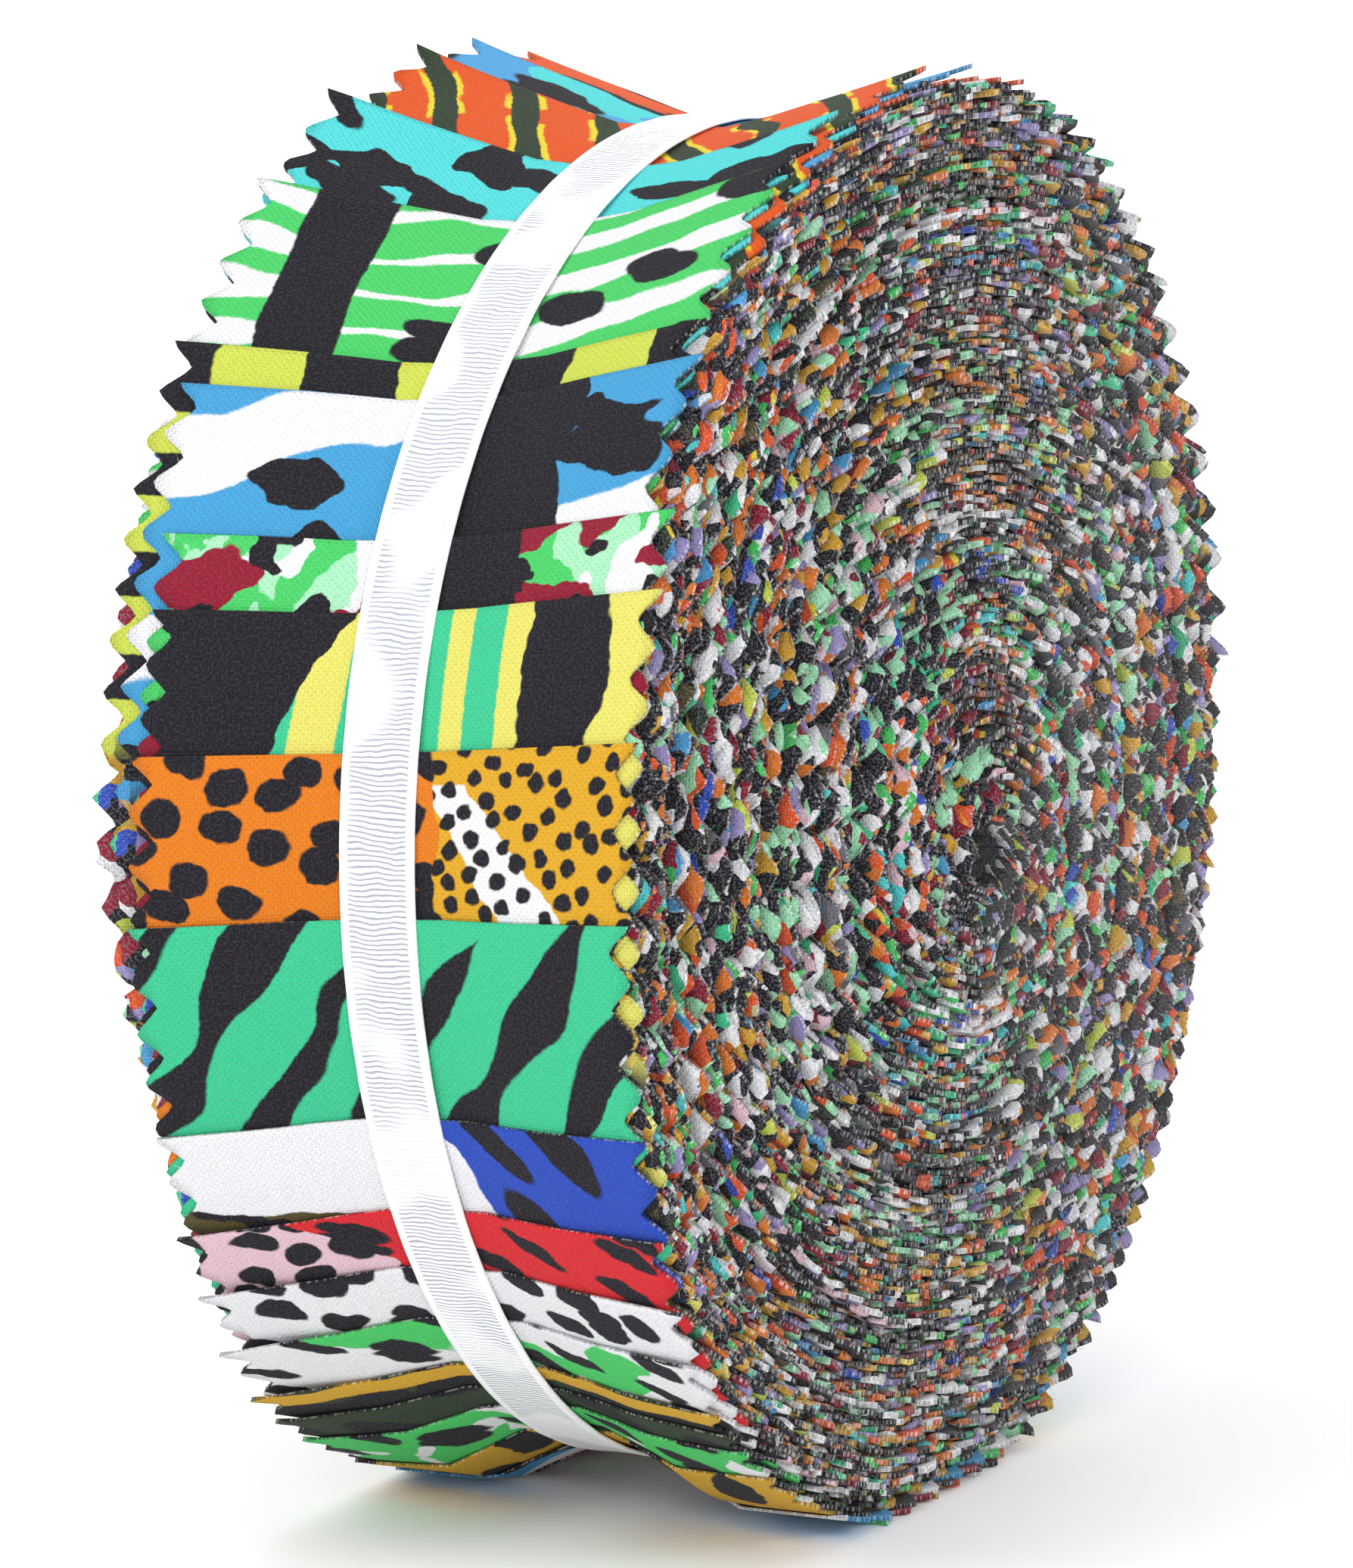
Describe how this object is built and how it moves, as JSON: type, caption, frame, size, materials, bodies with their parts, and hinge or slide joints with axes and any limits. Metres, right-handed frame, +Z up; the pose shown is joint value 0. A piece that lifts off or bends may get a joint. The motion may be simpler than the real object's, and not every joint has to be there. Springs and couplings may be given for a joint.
{
  "type": "jelly roll of quilting fabric strips",
  "caption": "Roll of pinked printed cotton strips wound up together, standing on its rim, pulled in by a narrow white ribbon round the middle.",
  "frame": {"origin": "on the surface that the roll stands on, under the middle of its box", "axes": "+Z up, X along the roll's axis, and -Y towards the pictured rim, with the pictured spiral face at +X"},
  "size_m": [0.0692, 0.1736, 0.1735],
  "materials": {
    "pinked_edges": "fuzzy cut edges",
    "mustard_bars": "matte printed plain weave",
    "green_brush": "matte printed plain weave",
    "bottle_green": "matte printed plain weave",
    "amber_band": "matte printed plain weave",
    "white_leaf": "matte printed plain weave",
    "white_spot": "matte printed plain weave",
    "red_stroke": "matte printed plain weave",
    "white_cobalt": "matte printed plain weave",
    "teal_zebra": "matte printed plain weave",
    "orange_leopard": "matte printed plain weave",
    "black_lemon": "matte printed plain weave",
    "green_wine": "matte printed plain weave",
    "blue_splash": "matte printed plain weave",
    "lime_block": "matte printed plain weave",
    "green_zebra": "matte printed plain weave",
    "aqua_leaf": "matte printed plain weave",
    "flame_bars": "matte printed plain weave",
    "sky_stroke": "matte printed plain weave",
    "orange_stroke": "matte printed plain weave",
    "lilac_spot": "matte printed plain weave",
    "ribbon_white": "sheer satin weave"
  },
  "bodies": {
    "root": {"roll": "pinked_edges", "strip_01": "mustard_bars", "strip_02": "green_brush", "strip_03": "bottle_green", "strip_04": "amber_band", "strip_05": "white_leaf", "strip_06": "white_spot", "strip_07": "red_stroke", "strip_08": "white_cobalt", "strip_09": "teal_zebra", "strip_10": "orange_leopard", "strip_11": "black_lemon", "strip_12": "green_wine", "strip_13": "blue_splash", "strip_14": "lime_block", "strip_15": "green_zebra", "strip_16": "aqua_leaf", "strip_17": "flame_bars", "strip_18": "sky_stroke", "strip_19": "orange_stroke", "strip_20": "lilac_spot", "strip_21": "teal_zebra", "strip_22": "mustard_bars", "strip_23": "white_spot", "strip_24": "flame_bars", "strip_25": "green_wine", "strip_26": "blue_splash", "strip_27": "lilac_spot", "strip_28": "teal_zebra", "strip_29": "mustard_bars", "strip_30": "white_spot", "strip_31": "flame_bars", "strip_32": "green_wine", "strip_33": "blue_splash", "strip_34": "lilac_spot", "strip_35": "teal_zebra", "strip_36": "mustard_bars", "strip_37": "white_spot", "strip_38": "flame_bars", "strip_39": "green_wine", "strip_40": "blue_splash", "ribbon": "ribbon_white"}
  },
  "joints": []
}
